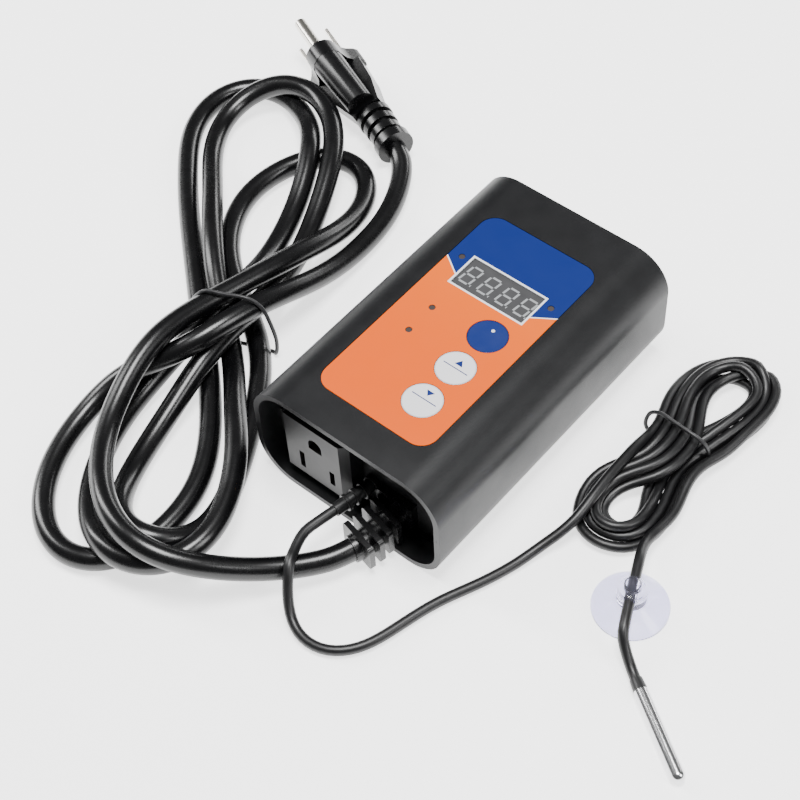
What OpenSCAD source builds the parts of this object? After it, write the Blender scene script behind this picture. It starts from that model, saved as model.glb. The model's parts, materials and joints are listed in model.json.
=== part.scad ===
// Plug-in temperature controller for a seedling heat mat: a two-shell housing with a
// display, three push buttons and a grounded socket, a mains lead with its plug, and a
// sensor lead with a suction cup and a steel probe. Millimetres. The housing stands on
// z = 0, centred on the origin, with the socket at -Y and the buttons' column at +X.

/* [Housing] */
// Length of the housing
body_l = 120; // [116:1:128]
// Width of the housing
body_w = 76; // [75:0.5:79]
// Height of the housing
body_h = 43.2; // [42.6:0.2:44]
// Radius of the long edges
edge_r = 14; // [13:0.5:15]
// Wall thickness of both covers
wall = 2.2; // [2:0.1:2.4]
// Height of the joint between the covers
split_z = 22; // [21:0.5:23]
// Depth of the recess around the socket
recess = 10; // [9:0.5:10]

/* [Label and buttons] */
// Width of the printed label
label_w = 45; // [44:0.5:46]
// Length of the printed label
label_l = 90; // [88:0.5:91]
// Thickness of the printed label
label_t = 0.4; // [0.3:0.05:0.5]
// Diameter of a button
button_d = 13.3; // [12.6:0.1:13.6]
// Distance between the buttons
button_pitch = 16.2; // [15.6:0.1:17]
// Width of the display opening in the label
display_w = 29; // [28:0.5:29.5]
// Height of the display opening in the label
display_h = 12.8; // [12:0.2:13]

/* [Socket and plug] */
// Distance between the two flat blades
blade_gap = 12.7; // [12.6:0.1:12.8]
// Distance from the blades' line to the ground pin
ground_drop = 11.9; // [11.8:0.1:12]
// Diameter of the plug's ground pin
pin_d = 4.76; // [4.7:0.02:4.8]

/* [Leads] */
// Diameter of the mains lead
mains_d = 7.8; // [7.4:0.1:7.8]
// Diameter of the sensor lead
sensor_d = 3.5; // [3.2:0.1:3.6]
// Diameter of the steel probe
probe_d = 4.6; // [4.5:0.1:5]
// Length of the steel probe
probe_l = 31; // [28:1:32]
// Diameter of the suction cup's rim
cup_d = 24.6; // [23:0.2:26]

/* [Hidden] */
$fn = 64;

y_front = -body_l / 2;
y_back = body_l / 2;
panel_t = 2;
panel_y = y_front + recess;
top_in = body_h - wall;
lip_h = 1.5;

label_y = -2.25;
label_r = 6;
button_x = 9.5;
button_ys = [for (i = [0:2]) -0.1 - i * button_pitch];
display_y = 17.1;
led_xy = [[-18.2, 21.4], [18.2, 21.4], [-12, -1.6], [-12, -13.3]];

board_t = 1.6;
board_top = 34.8;
board_low = board_top - board_t;
board_posts = [for (x = [-18.5, 18.5], y = [-38.5, 39]) [x, y]];
power_z = 7.6;
power_low = power_z - board_t;
power_posts = [for (x = [-26, 26], y = [-28, 38]) [x, y]];
case_posts = [for (x = [-28, 28], y = [-38.5, 48]) [x, y]];

socket_x = -14.2;
socket_w = 25.5;
socket_z0 = 7;
socket_z1 = 34;
socket_y = y_front + 2;
slot_z = 14.2;
ground_z = slot_z + ground_drop;
socket_depth = 15;
contact_y0 = socket_y + 2.5;
contact_y1 = socket_y + 13;
slot_h = [7.9, 6.6];
slot_x = [socket_x - blade_gap / 2, socket_x + blade_gap / 2];

window_t = 0.8;
window_z = body_h - label_t - window_t;
stem_r = 1.75;
flange_z = top_in - 1.3;

relief_x = 13;
relief_z = 7.4;
relief_y = panel_y - 21;
sensor_x = 3;
sensor_z = 14;

// Routes of the leads, as points that each lead passes through.
mains_route = [
    [11, relief_y, 7], [8, -78, 7], [1, -88, 7], [-9, -100, 11], [-20, -112, 18],
    [-35, -119, 22], [-51, -115, 22], [-65, -105, 19], [-77, -92, 17], [-83, -78, 19],
    [-87, -62, 24], [-88, -46, 23], [-86, -29, 20], [-82, -11, 19], [-80, 8, 16], [-80, 26, 9],
    [-83, 43, 4], [-90, 57, 4], [-102, 63, 4], [-115, 57, 4], [-122, 42, 4], [-124, 25, 4],
    [-117, 8, 4], [-104, -6, 4], [-74, -23, 4], [-60, -36, 4], [-45, -60, 4], [-33, -83, 4],
    [-30, -99, 5], [-37, -110, 12], [-47, -114, 14], [-58, -107, 9], [-66, -95, 4],
    [-71, -79, 4], [-74, -62, 7], [-76, -46, 12], [-78, -28, 12], [-79, -11, 11], [-84, 4, 5],
    [-89, 18, 4], [-95, 32, 6], [-101, 46, 11], [-109, 59, 13], [-121, 70, 12], [-137, 76, 12],
    [-150, 70, 12], [-158, 57, 7], [-156, 42, 4], [-146, 29, 5], [-131, 15, 9], [-116, -1, 12],
    [-103, -14, 10], [-90, -24, 5], [-77, -33, 4], [-64, -45, 7], [-52, -57, 12],
    [-39, -69, 13], [-29, -84, 12], [-23, -99, 13], [-27, -114, 12], [-40, -123, 12],
    [-55, -120, 11], [-69, -110, 5], [-79, -96, 4], [-85, -81, 4], [-88, -65, 4],
    [-87, -47, 10], [-86, -32, 12], [-88, -15, 12], [-93, 1, 6], [-98, 15, 4], [-104, 31, 5],
    [-110, 45, 11], [-119, 57, 12], [-131, 66, 6], [-148, 74, 4], [-163, 69, 4], [-169, 54, 4],
    [-164, 36, 4], [-150, 20, 4], [-135, 5, 4], [-112, -15, 4], [-88, -36, 4], [-66, -55, 4],
    [-54, -68, 4], [-45, -82, 4], [-42, -98, 4], [-43, -113, 4], [-51, -126, 4],
    [-64, -130, 4], [-78, -123, 4], [-89, -110, 4], [-95, -95, 4], [-97, -80, 5],
    [-95, -67, 11], [-86, -59, 15], [-77, -47, 20], [-75, -31, 21], [-72, -13, 17],
    [-71, 6, 9], [-72, 25, 4], [-73, 43, 4], [-77, 56, 4], [-82, 65, 5], [-87, 70, 7],
    [-94, 74, 8]];
sensor_route = [
    [0, panel_y - 16, 13], [-1, panel_y - 21, 13], [-2, -78, 13], [0, -85, 13], [3, -91, 13],
    [7, -97, 6], [12, -101, 2], [17, -103, 2], [23, -103, 2], [28, -101, 2], [33, -96, 2],
    [36, -90, 2], [38, -82, 2], [42, -67, 2], [48, -54, 2], [53, -40, 2], [58, -28, 2],
    [62, -18, 2]];
probe_route = [
    [80, -10, 5], [82, -15, 7], [84, -19, 9], [94, -41, 9], [97, -45, 6], [103, -49, 2.4],
    [109, -53, 2.4]];
hank_outline = [
    [62, -21], [70, -23], [77, -19], [82, -9], [84, 4], [82, 16], [78, 25], [77, 30], [79, 36],
    [83, 46], [85, 55], [83, 64], [77, 70], [68, 72], [59, 71], [52, 66], [49, 58], [50, 50],
    [54, 40], [56, 33], [56, 27], [53, 17], [51, 5], [51, -6], [54, -16]];
cup_at = [89, -30];
cup_turn = -65.6;
lead_z = 9;
probe_at = [109, -53, 2.4];
probe_turn = -33.2;
tie_d = 1.4;

// Housing section in XZ and the solids made from it.
module rounded_rect(w, h, r) {
    translate([-w / 2 + r, 0]) square([w - 2 * r, h]);
    translate([-w / 2, r]) square([w, h - 2 * r]);
    for (x = [-1, 1], y = [r, h - r]) translate([x * (w / 2 - r), y]) circle(r);
}

module section(inset) {
    translate([0, inset])
        rounded_rect(body_w - 2 * inset, body_h - 2 * inset, edge_r - inset);
}

module along_y(y0, y1) {
    translate([0, y1, 0]) rotate([90, 0, 0]) linear_extrude(y1 - y0) children();
}

module plate(w, l, r, z0, z1) {
    translate([0, -l / 2, z0]) linear_extrude(z1 - z0) rounded_rect(w, l, r);
}

module slab(x0, x1, y0, y1, z0, z1) {
    translate([x0, y0, z0]) cube([x1 - x0, y1 - y0, z1 - z0]);
}

module post(at, r, z0, z1) {
    translate([at[0], at[1], z0]) cylinder(r = r, h = z1 - z0);
}

module housing() {
    difference() {
        along_y(y_front, y_back) section(0);
        along_y(y_front - 1, y_back - wall) section(wall);
    }
}

module lip(inset) {
    intersection() {
        difference() {
            along_y(y_front, y_back - wall + inset) section(wall - inset);
            along_y(y_front - 1, y_back - wall) section(wall);
        }
        slab(-body_w, body_w, y_front, y_back, split_z, split_z + lip_h);
    }
}

module panel_ribs(z0, z1) {
    intersection() {
        difference() {
            for (y = [panel_y - 1.2, panel_y + panel_t]) along_y(y, y + 1.2) section(wall);
            along_y(y_front, y_back) section(wall + 1);
        }
        slab(-body_w, body_w, y_front, y_back, z0, z1);
    }
}

module top_cover() {
    color([0.09, 0.09, 0.1]) difference() {
        union() {
            intersection() {
                housing();
                slab(-body_w, body_w, y_front, y_back, split_z, body_h);
            }
            for (p = board_posts) post(p, 2.6, board_top, top_in + 0.3);
            intersection() {
                for (p = case_posts) post(p, 3.6, split_z, body_h);
                along_y(y_front, y_back) section(wall / 2);
            }
            panel_ribs(split_z + lip_h, body_h);
        }
        lip(1.1);
        translate([0, label_y, 0]) plate(label_w + 0.5, label_l + 0.5, label_r + 0.25,
            body_h - label_t, body_h + 1);
        translate([0, display_y, 0]) plate(30.6, 14.6, 0.4, top_in - 1, body_h + 1);
        for (y = button_ys) post([button_x, y], button_d / 2 + 0.25, top_in - 1, body_h + 1);
        for (p = led_xy) post(p, 1.3, top_in - 1, body_h + 1);
        for (p = board_posts) post(p, 1, board_top - 1, board_top + 5);
        for (p = case_posts) post(p, 1.5, split_z - 1, split_z + 11);
    }
}

module bottom_cover() {
    color([0.08, 0.08, 0.09]) difference() {
        union() {
            intersection() {
                housing();
                slab(-body_w, body_w, y_front, y_back, 0, split_z);
            }
            lip(1);
            for (p = power_posts) post(p, 3, wall - 0.5, power_low);
            intersection() {
                for (p = case_posts) post(p, 4.2, 0, split_z);
                along_y(y_front, y_back) section(wall / 2);
            }
            panel_ribs(0, split_z);
        }
        for (p = power_posts) post(p, 1, wall, power_low + 1);
        for (p = case_posts) {
            post(p, 3.2, -1, 12);
            post(p, 1.6, 11, split_z + 1);
        }
    }
}

module end_panel() {
    color([0.1, 0.1, 0.11]) difference() {
        along_y(panel_y, panel_y + panel_t) section(wall);
        slab(socket_x - socket_w / 2, socket_x + socket_w / 2, panel_y - 1, panel_y + 3,
            socket_z0, socket_z1);
        slab(relief_x - 5.5, relief_x + 5.5, panel_y - 1, panel_y + 3,
            relief_z - 4, relief_z + 4);
        translate([sensor_x, panel_y + 3, sensor_z]) rotate([90, 0, 0]) cylinder(r = 2.6, h = 5);
    }
}

// Socket: a block with two slots and a round ground hole, and its brass contacts.

module y_rod(x, z, r, y0, y1) {
    translate([x, y1, z]) rotate([90, 0, 0]) cylinder(r = r, h = y1 - y0);
}

module socket_block() {
    color([0.1, 0.1, 0.1]) difference() {
        translate([0, 0, socket_z0]) linear_extrude(socket_z1 - socket_z0) polygon([
            [socket_x - socket_w / 2, socket_y],
            [socket_x + socket_w / 2 - 2.5, socket_y],
            [socket_x + socket_w / 2, socket_y + 2.5],
            [socket_x + socket_w / 2, socket_y + socket_depth],
            [socket_x - socket_w / 2, socket_y + socket_depth]]);
        for (i = [0, 1]) {
            slab(slot_x[i] - 1, slot_x[i] + 1, socket_y - 1, socket_y + 4,
                slot_z - slot_h[i] / 2, slot_z + slot_h[i] / 2);
            slab(slot_x[i] - 2.2, slot_x[i] + 2.2, contact_y0, socket_y + 16,
                slot_z - 4.4, slot_z + 4.4);
        }
        y_rod(socket_x, ground_z, 2.7, socket_y - 1, contact_y0 + 1);
        slab(socket_x - 2.7, socket_x + 2.7, socket_y - 1, contact_y0, ground_z - 2.6, ground_z);
        y_rod(socket_x, ground_z, 3.5, contact_y0, socket_y + 16);
    }
}

module blade_contact(x) {
    color([0.8, 0.62, 0.25]) difference() {
        slab(x - 2.2, x + 2.2, contact_y0, contact_y1, slot_z - 4.2, slot_z + 4.2);
        slab(x - 0.8, x + 0.8, contact_y0 - 1, contact_y1 - 1, slot_z - 5, slot_z + 5);
    }
}

module hot_contact() { blade_contact(slot_x[1]); }
module neutral_contact() { blade_contact(slot_x[0]); }

module ground_contact() {
    color([0.8, 0.62, 0.25]) difference() {
        y_rod(socket_x, ground_z, 3.5, contact_y0, contact_y1);
        y_rod(socket_x, ground_z, 2.45, contact_y0 - 1, contact_y1 - 0.5);
    }
}

// Label, window, display and indicators.
module label_overlay() {
    color([0.95, 0.5, 0.15]) difference() {
        translate([0, label_y, 0]) plate(label_w, label_l, label_r, body_h - label_t, body_h);
        translate([0, display_y, 0]) plate(display_w, display_h, 0.3, body_h - 1, body_h + 1);
        for (y = button_ys) post([button_x, y], button_d / 2 + 0.15, body_h - 1, body_h + 1);
        for (p = led_xy) post(p, 1.15, body_h - 1, body_h + 1);
    }
}

module display_window() {
    color([0.5, 0.5, 0.5]) translate([0, display_y, 0])
        plate(30.4, 14.4, 0.3, window_z, window_z + window_t);
}

module display_module() {
    color([0.25, 0.25, 0.26]) translate([0, display_y, 0])
        plate(30.2, 14, 0.3, board_top, window_z);
}

module indicator_leds() {
    color([0.5, 0.5, 0.5]) for (p = led_xy) {
        post(p, 1.9, board_top, board_top + 1);
        post(p, 1.5, board_top, board_top + 4);
        post(p, 1.1, board_top, body_h - 0.15);
    }
}

// Push buttons: a cap in the label, a retaining flange and a stem into the switch.

module button(y, shade) {
    color(shade) {
        post([button_x, y], button_d / 2, flange_z, body_h);
        post([button_x, y], button_d / 2 + 0.9, flange_z, flange_z + 1);
        post([button_x, y], stem_r, board_top + 2.6, flange_z);
    }
}

module set_button() { button(button_ys[0], [0.2, 0.3, 0.62]); }
module up_button() { button(button_ys[1], [0.95, 0.95, 0.95]); }
module down_button() { button(button_ys[2], [0.95, 0.95, 0.95]); }

module switch_bodies() {
    color([0.15, 0.15, 0.16]) for (y = button_ys) difference() {
        slab(button_x - 3, button_x + 3, y - 3, y + 3, board_top, board_top + 3.6);
        post([button_x, y], stem_r + 0.1, board_top + 1.6, board_top + 5);
    }
}

// Boards and what is on them.
module board(x, y0, y1, z0, holes) {
    difference() {
        slab(-x, x, y0, y1, z0, z0 + board_t);
        for (p = holes) post(p, 1.2, z0 - 1, z0 + 3);
    }
}

module control_board() {
    color([0.1, 0.4, 0.2]) board(22, -42, 43, board_low, board_posts);
}

module screw(at, head_z, tip_z, r) {
    up = tip_z > head_z;
    difference() {
        union() {
            post(at, r, min(head_z, tip_z), max(head_z, tip_z));
            post(at, r * 1.9, up ? head_z - r : head_z, up ? head_z : head_z + r);
        }
        translate([at[0], at[1], up ? head_z - r : head_z + r]) for (a = [0, 90])
            rotate([0, 0, a]) cube([r * 2.4, r * 0.45, r * 1.1], center = true);
    }
}

module control_board_screws() {
    color("silver") for (p = board_posts) screw(p, board_low, board_top + 4.5, 1);
}

module power_board() {
    color([0.12, 0.38, 0.2]) board(30, -32, 42, power_low, power_posts);
}

module power_board_screws() {
    color("silver") for (p = power_posts) screw(p, power_z, wall + 0.6, 1);
}

module case_screws() {
    color([0.3, 0.3, 0.32]) for (p = case_posts) screw(p, 12, split_z + 9, 1.5);
}

module relay() { color([0.1, 0.2, 0.5]) slab(-22, -3, 12, 27.5, power_z, power_z + 15.5); }

module filter_capacitor() {
    color([0.15, 0.15, 0.2]) post([14, 30], 5, power_z, power_z + 16);
}

module film_capacitor() {
    color([0.85, 0.65, 0.15]) slab(2, 20, -12, -4, power_z, power_z + 13);
}

module supply_transformer() {
    color([0.75, 0.6, 0.2]) {
        slab(6, 22, 2, 6, power_z, power_z + 14);
        slab(6, 22, 14, 18, power_z, power_z + 14);
        slab(9, 19, 6, 14, power_z + 1, power_z + 13);
    }
}

module fuse() {
    color([0.8, 0.8, 0.8]) {
        translate([-24, -6, power_z + 4.2]) rotate([0, 90, 0]) cylinder(r = 2.6, h = 20);
        for (x = [-23, -9]) slab(x, x + 4, -8, -4, power_z, power_z + 3);
    }
}

module terminal_block() {
    color([0.2, 0.45, 0.3]) difference() {
        slab(-12, 14, -30, -21, power_z, power_z + 10);
        for (x = [-7.5, 1, 9.5]) post([x, -25.5], 1.8, power_z + 6, power_z + 11);
    }
}

module board_connectors() {
    color([0.92, 0.9, 0.84]) {
        slab(-8, 8, 35, 40, power_z, power_z + 6);
        slab(-8, 8, 33, 38, board_low - 5, board_low);
        slab(-2, 4, -40, -36, board_low - 5, board_low);
    }
}

module ribbon_cable() {
    color([0.6, 0.6, 0.62]) translate([-6, 0, 0]) rotate([90, 0, 90]) linear_extrude(12) polygon([
        [37, power_z + 6], [38, power_z + 6], [38, 18], [36, 22], [36, board_low - 5],
        [35, board_low - 5], [35, 21.6], [37, 17.6]]);
}

// A tube swept along a list of points, with one ring at each point.
function unit(v) = v / norm(v);
function tangent(p, i) = unit(p[min(i + 1, len(p) - 1)] - p[max(i - 1, 0)]);
function side_of(t) = unit(cross(t, [0, 0, 1]));
function ring(p, i, r, n) =
    let (t = tangent(p, i), s = side_of(t), u = cross(s, t))
    [for (k = [0:n - 1]) p[i] + r * (cos(360 * k / n) * s + sin(360 * k / n) * u)];

module tube(p, d, n) {
    last = len(p) - 1;
    points = [for (i = [0:last]) each ring(p, i, d / 2, n)];
    sides = [for (i = [0:last - 1], k = [0:n - 1], j = [0, 1]) let (m = (k + 1) % n)
        j == 0 ? [i * n + k, i * n + m, (i + 1) * n + m]
               : [i * n + k, (i + 1) * n + m, (i + 1) * n + k]];
    first_cap = [for (k = [n - 1:-1:0]) k];
    last_cap = [for (k = [0:n - 1]) last * n + k];
    polyhedron(points, concat([first_cap, last_cap], sides), convexity = 10);
}

// Wires inside the housing, from the leads' glands to the boards and the contacts.
module wire(shade, p) { color(shade) tube(p, 2, 8); }

module hot_wire() {
    wire([0.12, 0.12, 0.12], [[16, -45.5, 8], [15, -41, 9], [10, -34, 10.6], [9.5, -30, 10.6]]);
    wire([0.12, 0.12, 0.12], [[-7.5, -30, 10.6], [-8, -36, 12], [slot_x[1], -41, slot_z],
        [slot_x[1], contact_y1, slot_z]]);
}

module neutral_wire() {
    wire([0.9, 0.9, 0.9], [[11, -45.5, 8], [8, -40, 9], [2, -34, 10.6], [1, -30, 10.6]]);
    wire([0.9, 0.9, 0.9], [[-3, -30, 13], [-6, -37, 17], [-16, -39, 17], [slot_x[0], -41, slot_z],
        [slot_x[0], contact_y1, slot_z]]);
}

module ground_wire() {
    wire([0.15, 0.55, 0.25], [[13, -45.5, 11.5], [10, -41, 13], [2, -36, 17], [-8, -36, 22],
        [socket_x, -40, ground_z], [socket_x, contact_y1, ground_z]]);
}

module sensor_wires() {
    color([0.85, 0.85, 0.8]) tube([[sensor_x, -46.2, sensor_z], [sensor_x, -44.6, 15],
        [1.5, -43.5, 21], [1, -40.5, 26], [1, -38.5, board_low - 5]], 1.8, 8);
}

// Strain reliefs, held in the end panel between two flanges.
module mains_strain_relief() {
    color([0.1, 0.1, 0.1]) {
        slab(6.2, 20.6, panel_y - 3, panel_y, 3.4, 16);
        slab(relief_x - 5.3, relief_x + 5.3, panel_y, panel_y + panel_t,
            relief_z - 3.8, relief_z + 3.8);
        slab(6.8, 19.6, panel_y + panel_t, -45.5, 3.4, 13.5);
        for (i = [0:3]) translate([relief_x - [0, 0, 0.2, 0.9][i], panel_y - 6.4 - 4.05 * i, 2.4])
            rotate([90, 0, -13]) translate([0, 0, -0.95]) linear_extrude(1.9)
                rounded_rect(14.5, 10.8, 1.5);
        tube([[13, panel_y - 2, 7], [13, panel_y - 11, 7], [12.5, relief_y + 3.5, 7],
            [11, relief_y, 7]], 9.2, 24);
    }
}

module sensor_strain_relief() {
    color([0.1, 0.1, 0.1]) {
        y_rod(sensor_x, sensor_z, 3.5, panel_y + panel_t, -46.2);
        y_rod(sensor_x, sensor_z, 2.5, panel_y, panel_y + panel_t);
        y_rod(sensor_x, sensor_z, 2.9, panel_y - 2, panel_y);
        for (p = [[2.7, -5, 13.8, 10], [1.9, -8.2, 13.4, 14], [1, -11.4, 13, 12]])
            translate([p[0], panel_y + p[1], p[2]]) rotate([90, 0, -p[3]])
                cylinder(r = 2.9, h = 1.2, center = true);
        tube([[3, panel_y - 1, 14], [3, panel_y - 3, 14], [1.9, panel_y - 7.5, 13.4],
            [1, panel_y - 11, 13], [0, panel_y - 16, 13]], 4.6, 20);
    }
}

// Mains lead, its tie and its plug.
module mains_lead() { color([0.05, 0.05, 0.05]) tube(mains_route, mains_d - 0.6, 12); }

module mains_tie() {
    color([0.05, 0.05, 0.05]) translate([-81, -29, 0]) rotate([0, 0, 20]) rotate([90, 0, 0])
        tube([[17, 1, 0], [17.5, 4, 0], [16, 12, 0], [13, 21, 0], [9, 26, 0], [0, 26.5, 0],
            [-8, 25.5, 0], [-12, 20, 0], [-16, 12, 0], [-18.5, 4, 0], [-16, 0.8, 0],
            [0, 0.8, 0], [14, 0.8, 0]], tie_d, 8);
}

// The plug's own frame: X from the ground pin to the blades, Z out of its face.
module in_plug() {
    translate([-139.25, 93.8, 0]) rotate([0, 0, 246.3]) rotate([90, 0, 0])
        translate([3.8, 12.3, 0]) rotate([0, 0, -115.4]) children();
}

// A boss round the ground pin and a flange behind the blades, hollowed between them.
module plug_outline() {
    polygon([[9, -9.5], [9, 9.5], [7.5, 11.3], [5, 11.6], [3, 10.6], [0.5, 8.4], [-2, 7],
        [-5, 6.4], [-8, 5.9], [-10.5, 4.2], [-11.8, 2], [-12.1, 0], [-11.8, -2], [-10.5, -4.2],
        [-8, -5.9], [-5, -6.4], [-2, -7], [0.5, -8.4], [3, -10.6], [5, -11.6], [7.5, -11.3]]);
}

module plug_blade_pair(z0, z1) {
    for (y = [-1, 1]) translate([0, y * blade_gap / 2, 0]) slab(2.8, 9.1, -0.75, 0.75, z0, z1);
}

module plug_body() {
    color([0.06, 0.06, 0.06]) in_plug() difference() {
        union() {
            translate([0, 0, -7]) linear_extrude(7) plug_outline();
            // The boss and the flange run back separately, so a hollow stays between them.
            hull() {
                translate([-5.9, 0, -7.1]) cylinder(r = 6, h = 0.1);
                translate([-1.5, -0.8, -30]) cylinder(r = 5.4, h = 0.1);
            }
            hull() {
                translate([4.6, 0, -7.1]) slab(-4, 4.4, -10.6, 10.6, 0, 0.1);
                translate([4.6, -1.2, -20]) slab(-4, 4, -8.6, 8.6, 0, 0.1);
            }
            hull() {
                translate([4.6, -1.2, -20]) slab(-4, 4, -8.6, 8.6, 0, 0.1);
                translate([3.6, -1.5, -32]) slab(-5, 4, -6, 6, 0, 0.1);
            }
            translate([5.15, -1.76, -51.7]) cylinder(r = 5.2, h = 21);
            for (i = [0:2]) translate([5.15, -1.76, -35.6 - 5 * i])
                cylinder(r = 6.9 - 0.3 * i, h = 3.2);
            translate([5.15, -1.76, -51.7]) cylinder(r = 7.2, h = 4);
        }
        plug_blade_pair(-6, 1);
        translate([-5.9, 0, -6]) cylinder(r = 1.9, h = 7);
    }
}

module plug_blades() { color([0.8, 0.76, 0.66]) in_plug() plug_blade_pair(-6, 17.5); }

module plug_ground_pin() {
    color([0.8, 0.76, 0.66]) in_plug() translate([-5.9, 0, 0]) {
        translate([0, 0, -6]) cylinder(r = 1.9, h = 6);
        cylinder(r = pin_d / 2, h = 19.4);
        translate([0, 0, 19.4]) cylinder(r1 = pin_d / 2, r2 = pin_d / 2 - 1.4, h = 1.6);
    }
}

// Sensor lead: the free stretch, the tied hank, the stretch to the probe and the cup on it.
module sensor_lead() { color([0.07, 0.07, 0.07]) tube(sensor_route, sensor_d, 8); }

module sensor_hank() {
    color([0.07, 0.07, 0.07]) linear_extrude(12) polygon(hank_outline);
}

module hank_tie() {
    color([0.05, 0.05, 0.05]) translate([66.5, 30, 0]) rotate([90, 0, 0])
        tube([[12, 2, 0], [12, 9, 0], [9, 12.8, 0], [-9, 12.8, 0], [-12, 9, 0], [-12, 3, 0],
            [-9, 0.8, 0], [9, 0.8, 0]], tie_d, 8);
}

module probe_lead() { color([0.07, 0.07, 0.07]) tube(probe_route, sensor_d, 8); }

module suction_cup() {
    color([0.8, 0.78, 0.86]) translate([cup_at[0], cup_at[1], 0]) difference() {
        rotate_extrude() polygon([[0, 2.8], [4, 2.6], [8, 1.5], [cup_d / 2 - 0.9, 0],
            [cup_d / 2, 0], [cup_d / 2, 0.7], [9, 2.9], [6, 4.6], [4.8, 5.4], [4.8, 10.4],
            [4.2, 11.2], [2.8, 11.4], [2.8, 12.8], [2.2, 13.4], [0, 13.4]]);
        rotate([0, 0, cup_turn]) translate([-8, 0, lead_z]) rotate([0, 90, 0])
            cylinder(r = sensor_d / 2 + 0.15, h = 16);
    }
}

module in_probe(x) {
    translate(probe_at) rotate([0, 0, probe_turn]) translate([x, 0, 0]) rotate([0, 90, 0])
        children();
}

module probe_sleeve() {
    color([0.8, 0.8, 0.82]) difference() {
        union() {
            in_probe(0) cylinder(r = probe_d / 2, h = probe_l - probe_d / 2);
            in_probe(probe_l - probe_d / 2) sphere(probe_d / 2);
        }
        in_probe(-1) cylinder(r = probe_d / 2 - 0.3, h = probe_l - 1);
    }
}

module probe_potting() {
    color([0.06, 0.06, 0.06]) {
        in_probe(0) cylinder(r = probe_d / 2 - 0.3, h = 9);
        difference() {
            in_probe(-4) cylinder(r1 = sensor_d / 2 + 0.3, r2 = probe_d / 2, h = 4);
            in_probe(-5) cylinder(r = sensor_d / 2 + 0.1, h = 5);
        }
    }
}

module thermistor_bead() {
    color([0.25, 0.25, 0.25]) {
        in_probe(probe_l - 5) sphere(1.3);
        for (y = [-0.7, 0.7]) translate([0, 0, y]) in_probe(9)
            cylinder(r = 0.3, h = probe_l - 14.5);
    }
}

top_cover();
bottom_cover();
end_panel();
socket_block();
hot_contact();
neutral_contact();
ground_contact();
label_overlay();
display_window();
display_module();
set_button();
up_button();
down_button();
switch_bodies();
indicator_leds();
control_board();
control_board_screws();
power_board();
power_board_screws();
relay();
filter_capacitor();
film_capacitor();
supply_transformer();
fuse();
terminal_block();
board_connectors();
ribbon_cable();
hot_wire();
neutral_wire();
ground_wire();
sensor_wires();
case_screws();
mains_strain_relief();
sensor_strain_relief();
mains_lead();
mains_tie();
plug_body();
plug_blades();
plug_ground_pin();
sensor_lead();
sensor_hank();
hank_tie();
probe_lead();
suction_cup();
probe_sleeve();
probe_potting();
thermistor_bead();
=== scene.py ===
# Heat mat temperature controller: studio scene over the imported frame. Lengths in metres.
import math

import bmesh
import bpy
import json
import numpy as np
from mathutils import Matrix, Vector

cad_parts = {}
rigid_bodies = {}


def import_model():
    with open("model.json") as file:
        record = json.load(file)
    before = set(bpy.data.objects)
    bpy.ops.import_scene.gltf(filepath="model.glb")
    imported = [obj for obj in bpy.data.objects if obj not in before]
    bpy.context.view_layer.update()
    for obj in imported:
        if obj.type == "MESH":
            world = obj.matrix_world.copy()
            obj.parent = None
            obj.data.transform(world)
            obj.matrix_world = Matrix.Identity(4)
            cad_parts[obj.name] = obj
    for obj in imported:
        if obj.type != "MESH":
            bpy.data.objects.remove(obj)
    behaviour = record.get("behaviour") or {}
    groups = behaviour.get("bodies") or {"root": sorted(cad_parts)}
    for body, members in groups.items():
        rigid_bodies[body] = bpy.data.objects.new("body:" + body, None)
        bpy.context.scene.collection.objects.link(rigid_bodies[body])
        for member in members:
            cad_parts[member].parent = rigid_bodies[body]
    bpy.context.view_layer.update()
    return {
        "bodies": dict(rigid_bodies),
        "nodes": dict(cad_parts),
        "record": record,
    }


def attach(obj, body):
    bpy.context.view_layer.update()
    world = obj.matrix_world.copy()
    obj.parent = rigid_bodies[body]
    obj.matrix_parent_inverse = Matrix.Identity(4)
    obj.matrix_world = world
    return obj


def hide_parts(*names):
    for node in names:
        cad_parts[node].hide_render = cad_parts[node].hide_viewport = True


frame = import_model()
nodes = frame["nodes"]
scene = bpy.context.scene
MM = 0.001
ROOT = "controller"
MAINS_D = 7.8  # outer diameters, in millimetres
SENSOR_D = 3.5
TIE_D = 1.4
MAINS_START, MAINS_END = (11, -71, 7), (-94, 74, 8)
END_REACH = 9  # how far from its ends the mains lead is held, in millimetres
HANK_TURNS = 5
STRAND_PITCH = 3.4  # between strands at the tied waist
NEST_PITCH = 2.3  # between one turn's lobe and the next


# ---------------------------------------------------------------- camera
def look_from(position, forward, right, lens):
    """Adds the camera with the photograph's standpoint and lens."""
    data = bpy.data.cameras.new("camera")
    data.sensor_width = 36.0
    data.lens = lens
    data.clip_start = 0.01
    data.clip_end = 20.0
    camera = bpy.data.objects.new("camera", data)
    scene.collection.objects.link(camera)
    z = -Vector(forward).normalized()
    x = Vector(right)
    x = (x - z * x.dot(z)).normalized()
    y = z.cross(x)
    m = Matrix((x, y, z)).transposed().to_4x4()
    m.translation = Vector(position)
    camera.matrix_world = m
    scene.camera = camera
    return camera


look_from((0.2317, -0.2798, 0.4761), (-0.4169, 0.4451, -0.7925), (0.783, 0.622, -0.007), 79.8)

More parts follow.
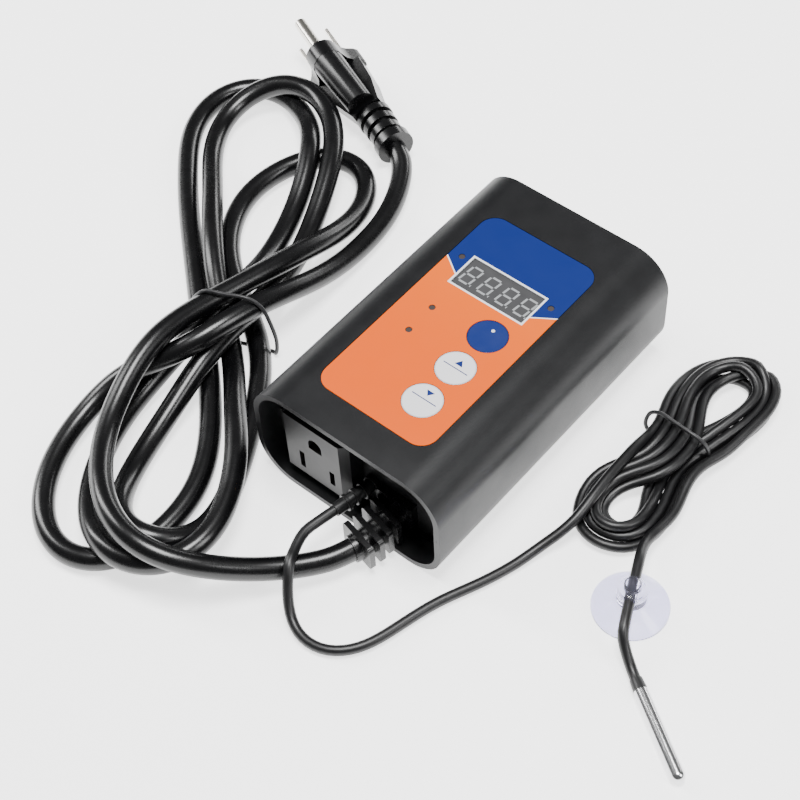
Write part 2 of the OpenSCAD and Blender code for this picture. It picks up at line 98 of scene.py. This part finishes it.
# ---------------------------------------------------------------- cords
# The routes repeat the part's own, in millimetres.
MAINS_ROUTE = [
    (11, -71, 7), (8, -78, 7), (1, -88, 7), (-9, -100, 11), (-20, -112, 18), (-35, -119, 22),
    (-51, -115, 22), (-65, -105, 19), (-77, -92, 17), (-83, -78, 19), (-87, -62, 24),
    (-88, -46, 23), (-86, -29, 20), (-82, -11, 19), (-80, 8, 16), (-80, 26, 9), (-83, 43, 4),
    (-90, 57, 4), (-102, 63, 4), (-115, 57, 4), (-122, 42, 4), (-124, 25, 4), (-117, 8, 4),
    (-104, -6, 4), (-74, -23, 4), (-60, -36, 4), (-45, -60, 4), (-33, -83, 4), (-30, -99, 5),
    (-37, -110, 12), (-47, -114, 14), (-58, -107, 9), (-66, -95, 4), (-71, -79, 4),
    (-74, -62, 7), (-76, -46, 12), (-78, -28, 12), (-79, -11, 11), (-84, 4, 5), (-89, 18, 4),
    (-95, 32, 6), (-101, 46, 11), (-109, 59, 13), (-121, 70, 12), (-137, 76, 12),
    (-150, 70, 12), (-158, 57, 7), (-156, 42, 4), (-146, 29, 5), (-131, 15, 9), (-116, -1, 12),
    (-103, -14, 10), (-90, -24, 5), (-77, -33, 4), (-64, -45, 7), (-52, -57, 12),
    (-39, -69, 13), (-29, -84, 12), (-23, -99, 13), (-27, -114, 12), (-40, -123, 12),
    (-55, -120, 11), (-69, -110, 5), (-79, -96, 4), (-85, -81, 4), (-88, -65, 4),
    (-87, -47, 10), (-86, -32, 12), (-88, -15, 12), (-93, 1, 6), (-98, 15, 4), (-104, 31, 5),
    (-110, 45, 11), (-119, 57, 12), (-131, 66, 6), (-148, 74, 4), (-163, 69, 4), (-169, 54, 4),
    (-164, 36, 4), (-150, 20, 4), (-135, 5, 4), (-112, -15, 4), (-88, -36, 4), (-66, -55, 4),
    (-54, -68, 4), (-45, -82, 4), (-42, -98, 4), (-43, -113, 4), (-51, -126, 4), (-64, -130, 4),
    (-78, -123, 4), (-89, -110, 4), (-95, -95, 4), (-97, -80, 5), (-95, -67, 11),
    (-86, -59, 15), (-77, -47, 20), (-75, -31, 21), (-72, -13, 17), (-71, 6, 9), (-72, 25, 4),
    (-73, 43, 4), (-77, 56, 4), (-82, 65, 5), (-87, 70, 7), (-94, 74, 8),
]
SENSOR_ROUTE = [
    (0, -66, 13), (-1, -71, 13), (-2, -78, 13), (0, -85, 13), (3, -91, 13), (7, -97, 6),
    (12, -101, 2), (17, -103, 2), (23, -103, 2), (28, -101, 2), (33, -96, 2), (36, -90, 2),
    (38, -82, 2), (42, -67, 2), (48, -54, 2), (53, -40, 2), (58, -28, 2), (62, -18, 2),
]
PROBE_ROUTE = [
    (80, -10, 5), (82, -15, 7), (84, -19, 9), (94, -41, 9), (97, -45, 6), (103, -49, 2.4),
    (109, -53, 2.4),
]


def spline(points, per=6):
    """Points on a smooth curve through the given ones."""
    p = np.array(points, float)
    t = np.zeros_like(p)
    t[1:-1] = (p[2:] - p[:-2]) / 2
    t[0], t[-1] = p[1] - p[0], p[-1] - p[-2]
    out = []
    for i in range(len(p) - 1):
        for s in np.arange(per) / per:
            out.append(
                (2 * s**3 - 3 * s**2 + 1) * p[i]
                + (s**3 - 2 * s**2 + s) * t[i]
                + (3 * s**2 - 2 * s**3) * p[i + 1]
                + (s**3 - s**2) * t[i + 1]
            )
    out.append(p[-1])
    return np.array(out)


def resample(p, step):
    """The same line with points a fixed distance apart."""
    d = np.r_[0, np.cumsum(np.linalg.norm(np.diff(p, axis=0), axis=1))]
    n = int(round(d[-1] / step))
    t = np.linspace(0, d[-1], n + 1)
    return np.column_stack([np.interp(t, d, p[:, k]) for k in range(3)])


def settle(p, diameter, pinned, rounds=140, pull=0.01, stiff=0.35):
    """Lets a cord's line smooth itself, keeps its own strands a diameter apart and off the floor."""
    home = p.copy()
    free = ~pinned(p)
    free[:3] = free[-3:] = False
    step = np.linalg.norm(np.diff(p, axis=0), axis=1).mean()
    apart = int(2.5 * diameter / step)
    idx = np.arange(len(p))
    far = np.abs(idx[:, None] - idx[None, :]) > apart
    for _ in range(rounds):
        lap = np.zeros_like(p)
        lap[1:-1] = (p[:-2] + p[2:]) / 2 - p[1:-1]
        bend = np.zeros_like(p)
        bend[1:-1] = lap[1:-1] - (lap[:-2] + lap[2:]) / 2
        move = stiff * (0.25 * lap + 0.75 * bend) + pull * (home - p)
        gap = p[:, None, :] - p[None, :, :]
        dist = np.sqrt((gap**2).sum(2)) + 1e-9
        near = far & (dist < diameter)
        push = np.where(near, (diameter - dist) * 0.5 / dist, 0)[:, :, None] * gap
        count = np.maximum(near.sum(1), 1)[:, None]
        move += push.sum(1) / count
        p = p + np.where(free[:, None], move, 0)
        p[free, 2] = np.maximum(p[free, 2], diameter / 2 + 0.05)
    return p


def meshed(name, curve):
    """The curve's tube as a mesh object."""
    swept = bpy.data.objects.new(name + "_line", curve)
    mesh = bpy.data.meshes.new_from_object(swept)
    mesh.name = name
    bpy.data.objects.remove(swept)
    obj = bpy.data.objects.new(name, mesh)
    scene.collection.objects.link(obj)
    return obj


def cord_curve(name, p, diameter):
    """A round cord along the points, which are in millimetres."""
    curve = bpy.data.curves.new(name, "CURVE")
    curve.dimensions = "3D"
    curve.bevel_depth = diameter / 2 * MM
    curve.bevel_resolution = 6
    curve.use_fill_caps = True
    line = curve.splines.new("POLY")
    line.points.add(len(p) - 1)
    for point, co in zip(line.points, p):
        point.co = (co[0] * MM, co[1] * MM, co[2] * MM, 1)
    line.use_smooth = True
    obj = meshed(name, curve)
    return obj


def hank_turns():
    """The sensor lead's hank: turns that cross the tied waist side by side and go back beneath."""
    route = []
    for k in range(HANK_TURNS):
        last = k == HANK_TURNS - 1
        uneven = (0.0, 1.4, -1.0, 1.0, -0.6)[k]
        side = 58.5 + STRAND_PITCH * k
        top = 8.8 - 0.45 * (k - 2) ** 2
        back, low = (77.5, 5.6) if last else (75.6 - STRAND_PITCH * k, 2.2)
        nest = NEST_PITCH * k
        outer = -0.4 if last else nest
        heap = 2.4 + 1.7 * (k % 3)
        route += [
            (side, 22, top), (side - 0.3, 30, top - 0.4), (54.6 + nest * 1.05, 42, 5 + heap * 0.2),
            (52.6 + nest, 54, heap), (56 + nest * 0.9, 64 - nest * 0.4 + uneven, heap),
            (64, 70.2 - nest + uneven, heap + 0.3), (72.5, 70.6 - outer + uneven, heap + 0.6),
            (79.8 - outer * 0.6, 65.2 - outer * 0.5, heap), (82.4 - outer, 55, heap),
            (80.3 - outer, 43, 2.6 + heap * 0.3), ((80.3 - outer + back) / 2, 33, 2.6),
            (back, 24, low), (back + 0.3, 16, low),
        ]
        if last:
            route += [(79.4, 9, 3.4), (80.4, 1, 2.4)]
        else:
            route += [
                (78.6 - nest * 0.9, 5, 2.4), (80.8 - nest, -4, heap), (78.6 - nest, -12, heap),
                (72.5 - nest * 0.5, -18.2 + nest + uneven, heap + 0.6),
                (64.5, -19.4 + nest + uneven, heap + 0.4), (57 + nest * 0.8, -15.2 + nest * 0.7, heap),
                (53.4 + nest, -6, heap + 0.4), (54.2 + nest * 1.1, 4, 4.6 + heap * 0.3),
                (side + 2.4, 13, top - 0.6),
            ]
    return route


def mains_held(p):
    """Which points lie in the housing's strain relief or in the plug's."""
    ends = [np.linalg.norm(p - np.array(end), axis=1) < END_REACH for end in (MAINS_START, MAINS_END)]
    return ends[0] | ends[1]


def sensor_held(p):
    """Which points lie in the housing's strain relief, or between the cup and the probe."""
    past_hank = (p[:, 0] > 82.8) & (p[:, 1] < -17)
    in_relief = (p[:, 1] < -50) & (p[:, 0] < 2)
    return past_hank | in_relief


mains = settle(resample(spline(MAINS_ROUTE), 4.2), MAINS_D, mains_held)
mains = spline(mains, 2)
# The lead climbs over the lower lobe to the first strand at the waist.
climb = [(55, -31, 3), (59, -22, 6.5), (59.5, -12, 8.6), (58.5, 0, 9.4), (58.5, 13, 9.4)]
sensor_points = SENSOR_ROUTE[:-2] + climb + hank_turns() + PROBE_ROUTE
sensor = settle(resample(spline(sensor_points), 2.4), SENSOR_D, sensor_held, rounds=90, pull=0.015)

mains_lead = cord_curve("mains_cord", mains, MAINS_D)
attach(mains_lead, ROOT)
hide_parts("mains_lead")
sensor_lead = cord_curve("sensor_cord", sensor, SENSOR_D)
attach(sensor_lead, ROOT)
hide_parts("sensor_lead", "sensor_hank", "probe_lead")


# ---------------------------------------------------------------- materials
class Val:
    """A shader value that can be added, subtracted, multiplied and compared."""

    def __init__(self, net, socket):
        self.net, self.socket = net, socket

    def __add__(self, o):
        return self.net.math("ADD", self, o)

    def __sub__(self, o):
        return self.net.math("SUBTRACT", self, o)

    def __mul__(self, o):
        return self.net.math("MULTIPLY", self, o)

    def absolute(self):
        return self.net.math("ABSOLUTE", self, 0.0)

    def most(self, o):
        return self.net.math("MAXIMUM", self, o)

    def under(self, edge, soft=0.06):
        """1 where this is below the edge, 0 above it, with a soft step in millimetres."""
        return self.net.math("ADD", self.net.math("SUBTRACT", edge, self) * (1 / soft), 0.5, True)


class Net:
    """A material's node tree."""

    def __init__(self, name):
        self.material = bpy.data.materials.new(name)
        self.material.use_nodes = True
        self.tree = self.material.node_tree
        self.shader = next(n for n in self.tree.nodes if n.type == "BSDF_PRINCIPLED")
        self.where = self.tree.nodes.new("ShaderNodeTexCoord").outputs["Object"]

    def join(self, value, socket):
        if isinstance(value, Val):
            value = value.socket
        if isinstance(value, bpy.types.NodeSocket):
            self.tree.links.new(value, socket)
        else:
            socket.default_value = value

    def math(self, op, a, b=0.0, clamp=False):
        n = self.tree.nodes.new("ShaderNodeMath")
        n.operation, n.use_clamp = op, clamp
        self.join(a, n.inputs[0])
        self.join(b, n.inputs[1])
        return Val(self, n.outputs[0])

    def axes(self):
        """X, Y and Z of the surface point, in millimetres."""
        n = self.tree.nodes.new("ShaderNodeSeparateXYZ")
        self.join(self.where, n.inputs[0])
        return [Val(self, n.outputs[i]) * 1000.0 for i in range(3)]

    def noise(self, size_mm, detail=2.0, rough=0.5, stretch=None):
        n = self.tree.nodes.new("ShaderNodeTexNoise")
        n.inputs["Scale"].default_value = 1000.0 / size_mm
        n.inputs["Detail"].default_value = detail
        n.inputs["Roughness"].default_value = rough
        at = self.where
        if stretch:
            m = self.tree.nodes.new("ShaderNodeMapping")
            m.inputs["Scale"].default_value = stretch
            self.join(at, m.inputs["Vector"])
            at = m.outputs[0]
        self.join(at, n.inputs["Vector"])
        return Val(self, n.outputs["Fac"])

    def mix(self, a, b, factor):
        n = self.tree.nodes.new("ShaderNodeMix")
        n.data_type = "RGBA"
        self.join(factor, n.inputs["Factor"])
        self.join(a if isinstance(a, bpy.types.NodeSocket) else (*a, 1.0), n.inputs["A"])
        self.join(b if isinstance(b, bpy.types.NodeSocket) else (*b, 1.0), n.inputs["B"])
        return n.outputs["Result"]

    def bump(self, height, distance_mm, strength=1.0, under=None):
        n = self.tree.nodes.new("ShaderNodeBump")
        n.inputs["Distance"].default_value = distance_mm * MM
        n.inputs["Strength"].default_value = strength
        self.join(height, n.inputs["Height"])
        if under is not None:
            self.join(under, n.inputs["Normal"])
        self.join(n.outputs[0], self.shader.inputs["Normal"])
        return n.outputs[0]

    def spread(self, value, low, high):
        """A 0 to 1 value as a value from low to high."""
        return value * (high - low) + low

    def put(self, **sockets):
        for name, value in sockets.items():
            socket = self.shader.inputs[name.replace("_", " ")]
            if isinstance(value, tuple) and len(value) == 3:
                value = (*value, 1.0)
            self.join(value, socket)
        return self.material


def moulded(name, colour, rough=(0.4, 0.5), grain_mm=0.35, grain=0.012, fleck=0.25, ior=1.5):
    """Moulded plastic: spark-eroded grain, and patches slightly lighter and rougher."""
    net = Net(name)
    fine = net.noise(grain_mm, 3.0, 0.6)
    patch = net.noise(9.0, 2.0, 0.5)
    light = tuple(min(1.0, c * (1 + fleck) + 0.004 * fleck) for c in colour)
    dark = tuple(c * (1 - fleck) for c in colour)
    net.bump(fine, grain)
    return net.put(
        Base_Color=net.mix(dark, light, patch), Roughness=net.spread(patch, *rough), IOR=ior,
    )


def cable_jacket(name, colour, rough, wave=0.02):
    """Extruded PVC: faint long waves in the jacket and a finer haze of handling marks."""
    net = Net(name)
    wave_bump = net.bump(net.noise(14.0, 1.0), wave * 4)
    net.bump(net.noise(0.5, 3.0), wave * 0.12, under=wave_bump)
    haze = net.noise(5.0, 4.0, 0.65)
    return net.put(
        Base_Color=net.mix(colour, tuple(c * 1.5 + 0.0008 for c in colour), haze),
        Roughness=net.spread(haze, *rough), IOR=1.52,
    )


def metal(name, colour, rough, stretch=(1, 1, 1), grain_mm=0.3, grain=0.002):
    """Plated or drawn metal with fine drawing lines."""
    net = Net(name)
    lines = net.noise(grain_mm, 3.0, 0.6, stretch)
    net.bump(lines, grain)
    stain = net.noise(4.0, 3.0)
    return net.put(
        Base_Color=net.mix(tuple(c * 0.88 for c in colour), colour, stain),
        Metallic=1.0, Roughness=net.spread(lines, *rough),
    )


def box_mask(x, y, cx, cy, w, h, soft=0.06):
    """1 inside a rectangle about (cx, cy), 0 outside it."""
    return (x - cx).absolute().under(w / 2, soft) * (y - cy).absolute().under(h / 2, soft)


ORANGE, PALE_ORANGE = (0.74, 0.1, 0.0), (0.78, 0.125, 0.001)
BLUE, WHITE = (0.005, 0.018, 0.13), (0.75, 0.77, 0.8)


def label_print():
    """Printed film: orange field, blue head with a white edge, white frame round the window."""
    net = Net("label_print")
    x, y, z = net.axes()
    far = x.absolute()
    edge = (far - 15.15).most(0.0) * 0.66 + 14.2
    blue = (y - edge).absolute().under(0.0)
    line = (y - edge).absolute().under(0.26)
    head = edge.under(y)
    fade = net.math("MULTIPLY", (y + 34.0) * 0.022, 1.0, True)
    field = net.mix(ORANGE, PALE_ORANGE, fade * fade * 0.8)
    colour = net.mix(field, BLUE, head)
    colour = net.mix(colour, WHITE, line)
    colour = net.mix(colour, WHITE, box_mask(x, y, 0.0, 17.1, 30.4, 14.2))
    net.bump(net.noise(0.4, 2.0), 0.004)
    return net.put(Base_Color=colour, Roughness=net.spread(net.noise(7.0), 0.34, 0.46), IOR=1.3)


def key_print(name, kind, cy, base, mark):
    """Printed key: a set dot, or an arrowhead over a thin rule, on a plain disc."""
    net = Net(name)
    x, y, z = net.axes()
    x, y = x - 9.5, y - cy
    r = net.math("SQRT", x * x + y * y)
    if kind == "dot":
        marks = net.math("SQRT", x * x + (y - 2.8) * (y - 2.8)).under(0.6)
    else:
        base_y, apex_y, rule_y = (1.35, 3.6, -0.1) if kind == "up" else (4.3, 2.3, 0.7)
        along = (y - base_y) * (1 / (apex_y - base_y))
        marks = x.absolute().under((along * -1.0 + 1.0) * 1.5) * (along * -1.0).under(0.0, 0.03)
        marks = marks.most(box_mask(x, y, 0.0, rule_y, 9.4, 0.34))
    colour = net.mix(base, mark, marks)
    colour = net.mix(colour, tuple(c * 0.72 for c in base), (r * -1.0).under(-6.25))
    net.bump(net.noise(0.4, 2.0), 0.004)
    return net.put(Base_Color=colour, Roughness=net.spread(net.noise(5.0), 0.3, 0.42), IOR=1.48)


def display_glass():
    """Grey window over four unlit seven-segment digits, which lean a little."""
    net = Net("display_glass")
    x, y, z = net.axes()
    y = y - 16.9
    lean = x - y * 0.12 + 15.1
    cell = net.math("MODULO", lean, 7.4)
    cx = cell - 4.3
    along = y.absolute()
    bars = box_mask(cx, y, 0.0, 0.0, 3.0, 0.75).most(box_mask(cx, along, 0.0, 3.75, 3.2, 0.75))
    posts = box_mask(cx.absolute(), along, 2.05, 1.9, 0.75, 2.9)
    dot = net.math("SQRT", (cx - 3.2) * (cx - 3.2) + (y + 3.7) * (y + 3.7)).under(0.5)
    inside = x.absolute().under(14.2)
    lit = bars.most(posts).most(dot) * inside
    haze = net.noise(6.0, 2.0)
    ground = net.mix((0.05, 0.05, 0.052), (0.075, 0.075, 0.078), haze)
    edge = box_mask(x, y, 0.0, 0.2, 28.6, 12.4, 0.5)
    ground = net.mix((0.025, 0.025, 0.027), ground, edge)
    return net.put(
        Base_Color=net.mix(ground, (0.3, 0.31, 0.32), lit), Roughness=net.spread(haze, 0.1, 0.16),
        IOR=1.5,
    )


def clear_vinyl():
    """Clear soft PVC with a faint violet tint."""
    net = Net("clear_vinyl")
    net.bump(net.noise(3.0, 2.0), 0.03)
    return net.put(
        Base_Color=net.mix((0.74, 0.72, 1.0), (0.84, 0.84, 1.0), net.noise(8.0)),
        Roughness=net.spread(net.noise(4.0), 0.04, 0.1), IOR=1.46, Transmission_Weight=0.96,
    )


MATERIALS = {
    "case": moulded("case_plastic", (0.0045, 0.0047, 0.0055), (0.36, 0.46), 0.33, 0.04, 0.18, 1.4),
    "panel": moulded("panel_plastic", (0.003, 0.003, 0.0036), (0.36, 0.46), 0.5, 0.006, 0.2, 1.4),
    "label": label_print(),
    "window": display_glass(),
    "display": moulded("display_body", (0.2, 0.2, 0.21)),
    "set_key": key_print("set_print", "dot", -0.1, BLUE, WHITE),
    "white_key": key_print("up_print", "up", -16.3, (0.75, 0.75, 0.77), BLUE),
    "down_key": key_print("down_print", "down", -32.5, (0.75, 0.75, 0.77), BLUE),
    "lens": moulded("lens_plastic", (0.05, 0.04, 0.038), (0.25, 0.35), 0.6, 0.002, 0.1),
    "contact": metal("contact_brass", (0.75, 0.55, 0.25), (0.25, 0.4)),
    "plating": metal("nickel_plate", (0.8, 0.77, 0.71), (0.18, 0.3), (1, 1, 0.1)),
    "board": moulded("board_mask", (0.02, 0.16, 0.06), (0.25, 0.35), 0.8, 0.004, 0.15),
    "dark_part": moulded("dark_moulding", (0.03, 0.03, 0.034)),
    "relay_case": moulded("relay_moulding", (0.02, 0.07, 0.25)),
    "can": moulded("can_sleeve", (0.03, 0.03, 0.06), (0.2, 0.3)),
    "film_box": moulded("film_moulding", (0.6, 0.4, 0.03), (0.2, 0.3)),
    "winding": moulded("winding_tape", (0.45, 0.3, 0.05), (0.3, 0.4)),
    "fuse_glass": moulded("fuse_tube", (0.5, 0.52, 0.52), (0.08, 0.15)),
    "terminal": moulded("terminal_moulding", (0.03, 0.2, 0.08)),
    "connector": moulded("connector_moulding", (0.7, 0.66, 0.55)),
    "ribbon": cable_jacket("ribbon_jacket", (0.35, 0.35, 0.36), (0.4, 0.5)),
    "hot": cable_jacket("hot_jacket", (0.012, 0.012, 0.013), (0.3, 0.4)),
    "neutral": cable_jacket("neutral_jacket", (0.6, 0.6, 0.6), (0.3, 0.4)),
    "ground": cable_jacket("ground_jacket", (0.02, 0.25, 0.06), (0.3, 0.4)),
    "screw": metal("zinc_plate", (0.6, 0.6, 0.62), (0.3, 0.45)),
    "mains_pvc": cable_jacket("mains_jacket", (0.0012, 0.0012, 0.0015), (0.22, 0.32)),
    "sensor_pvc": cable_jacket("sensor_jacket", (0.0022, 0.0022, 0.0026), (0.36, 0.46)),
    "tie": cable_jacket("tie_jacket", (0.012, 0.012, 0.013), (0.35, 0.45)),
    "cup_pvc": clear_vinyl(),
    "probe_steel": metal("probe_steel", (0.74, 0.74, 0.75), (0.14, 0.26), (0.2, 1, 1)),
    "bead": moulded("bead_epoxy", (0.03, 0.03, 0.03)),
}
SLOTS = {part["node"]: part["material_slot"] for part in frame["record"]["subparts"]}
for node, slot in SLOTS.items():
    mesh = nodes[node].data
    mesh.materials.clear()
    mesh.materials.append(MATERIALS[slot])
nodes["down_button"].data.materials[0] = MATERIALS["down_key"]
mains_lead.data.materials.append(MATERIALS["mains_pvc"])
sensor_lead.data.materials.append(MATERIALS["sensor_pvc"])


# ---------------------------------------------------------------- finished pieces
def soften(obj, width, segments, angle=30):
    """Merges the flat faces, rounds the sharp edges and shades the rest smoothly."""
    mesh = obj.data
    b = bmesh.new()
    b.from_mesh(mesh)
    bmesh.ops.remove_doubles(b, verts=b.verts, dist=2e-6)
    bmesh.ops.dissolve_limit(b, angle_limit=math.radians(0.6), verts=b.verts, edges=b.edges)
    for f in b.faces:
        f.smooth = True
    for e in b.edges:
        if len(e.link_faces) == 2 and e.calc_face_angle(0) > math.radians(angle):
            e.smooth = False
    b.to_mesh(mesh)
    b.free()
    if width:
        bevel = obj.modifiers.new("edges", "BEVEL")
        bevel.width = width * MM
        bevel.segments = segments
        bevel.limit_method = "ANGLE"
        bevel.angle_limit = math.radians(angle)
        bevel.harden_normals = True
        bevel.use_clamp_overlap = True


def finished(node, width):
    """The CAD node's shape with moulded edges, as a piece of its own."""
    src = nodes[node]
    obj = bpy.data.objects.new(node + "_finished", src.data.copy())
    scene.collection.objects.link(obj)
    soften(obj, width, 3 if width > 0.3 else 2)
    body = next(b for b, e in frame["bodies"].items() if e == src.parent)
    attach(obj, body)
    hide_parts(node)
    return obj


pieces = {}
for node, width in (  # the width of the rounded edges, in millimetres
    ("top_cover", 0.35), ("bottom_cover", 0.3), ("end_panel", 0.2), ("socket_block", 0.35),
    ("label_overlay", 0), ("display_window", 0.1), ("set_button", 0.12), ("up_button", 0.12),
    ("down_button", 0.12), ("indicator_leds", 0.1), ("mains_strain_relief", 0.35),
    ("sensor_strain_relief", 0.25), ("plug_blades", 0.35), ("plug_ground_pin", 0.5),
    ("suction_cup", 0.2), ("probe_sleeve", 0.06), ("probe_potting", 0.15), ("plug_body", 0.8),
    ("hot_contact", 0.2), ("neutral_contact", 0.2), ("ground_contact", 0.2),
):
    pieces[node] = finished(node, width)
pieces["down_button"].data.materials[0] = MATERIALS["down_key"]


def loop_curve(name, points, diameter, slot_name):
    """A closed wire through the points, in millimetres."""
    curve = bpy.data.curves.new(name, "CURVE")
    curve.dimensions = "3D"
    curve.bevel_depth = diameter / 2 * MM
    curve.bevel_resolution = 3
    p = np.array(points, float)
    p = spline(np.vstack([p[-1:], p, p[:2]]), 6)[6:-6]
    line = curve.splines.new("POLY")
    line.points.add(len(p) - 2)
    for point, co in zip(line.points, p):
        point.co = (*(co * MM), 1)
    line.use_cyclic_u = True
    obj = meshed(name, curve)
    obj.data.materials.append(MATERIALS[slot_name])
    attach(obj, ROOT)
    return obj


def tie_points(outline, at, turn):
    """A tie's outline of (across, height, along) set down at a place and turned, in degrees."""
    c, s = math.cos(math.radians(turn)), math.sin(math.radians(turn))
    return [(at[0] + u * c - v * s, at[1] + u * s + v * c, z) for u, z, v in outline]


mains_tie = loop_curve(
    "mains_cord_tie",
    tie_points([(17, 2, -1), (17.2, 8, 0), (15, 16, 1), (12.5, 21.5, 1.5), (8, 25.2, 1), (0, 25.6, 0),
                (-7, 25.4, -0.5), (-11.5, 20.5, -1), (-15, 12, -0.5), (-18, 5, 0), (-16, 0.9, 0),
                (0, 0.9, 0), (14, 0.9, 0)], (-81, -29), 20),
    TIE_D, "tie")
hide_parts("mains_tie")
hank_tie = loop_curve(
    "sensor_cord_tie",
    tie_points([(10.6, 2, 0), (10.8, 6, 0.3), (9, 10.4, 0), (5, 12.3, -0.4), (-3, 12.4, 0.3),
                (-8.5, 12, 1), (-12, 10, 0.5), (-12.6, 6, -1), (-10.8, 2.4, -1), (-8, 0.9, 0),
                (0, 0.8, 0), (8, 0.8, 0)], (66.5, 28.5), 2),
    TIE_D, "tie")
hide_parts("hank_tie")


# ---------------------------------------------------------------- floor and light
def floor():
    """A wide sheet of white paper that gives off a little light."""
    mesh = bpy.data.meshes.new("floor")
    mesh.from_pydata([(-4, -4, 0), (4, -4, 0), (4, 4, 0), (-4, 4, 0)], [], [(0, 1, 2, 3)])
    obj = bpy.data.objects.new("floor", mesh)
    scene.collection.objects.link(obj)
    obj.location.z = -0.0001
    net = Net("floor_paper")
    net.put(Base_Color=net.mix((0.93, 0.93, 0.93), (0.95, 0.95, 0.95), net.noise(60.0)), Roughness=0.9,
            Emission_Color=(1.0, 1.0, 1.0), Emission_Strength=1.8)
    mesh.materials.append(net.material)


def softbox(name, position, target, size, power):
    """A rectangular lamp of the given size in metres and power in watts, turned to a point."""
    data = bpy.data.lights.new(name, "AREA")
    data.shape = "RECTANGLE"
    data.size, data.size_y = size
    data.energy = power
    obj = bpy.data.objects.new(name, data)
    scene.collection.objects.link(obj)
    obj.location = position
    obj.rotation_euler = (Vector(target) - Vector(position)).to_track_quat("-Z", "Y").to_euler()


floor()
softbox("top", (0.05, 0.0, 1.3), (0, 0, 0), (0.5, 0.5), 26)
softbox("key", (-1.05, -0.25, 0.75), (0, 0, 0), (0.25, 0.9), 13)
softbox("fill", (0.95, 0.2, 0.8), (0, 0, 0), (0.3, 0.6), 7)
softbox("back", (-0.1, 1.3, 0.45), (0, 0, 0.02), (1.0, 0.2), 7)
world = bpy.data.worlds.new("studio")
world.use_nodes = True
world.node_tree.nodes["Background"].inputs["Color"].default_value = (1, 1, 1, 1)
world.node_tree.nodes["Background"].inputs["Strength"].default_value = 0.14
scene.world = world

bpy.context.view_layer.update()
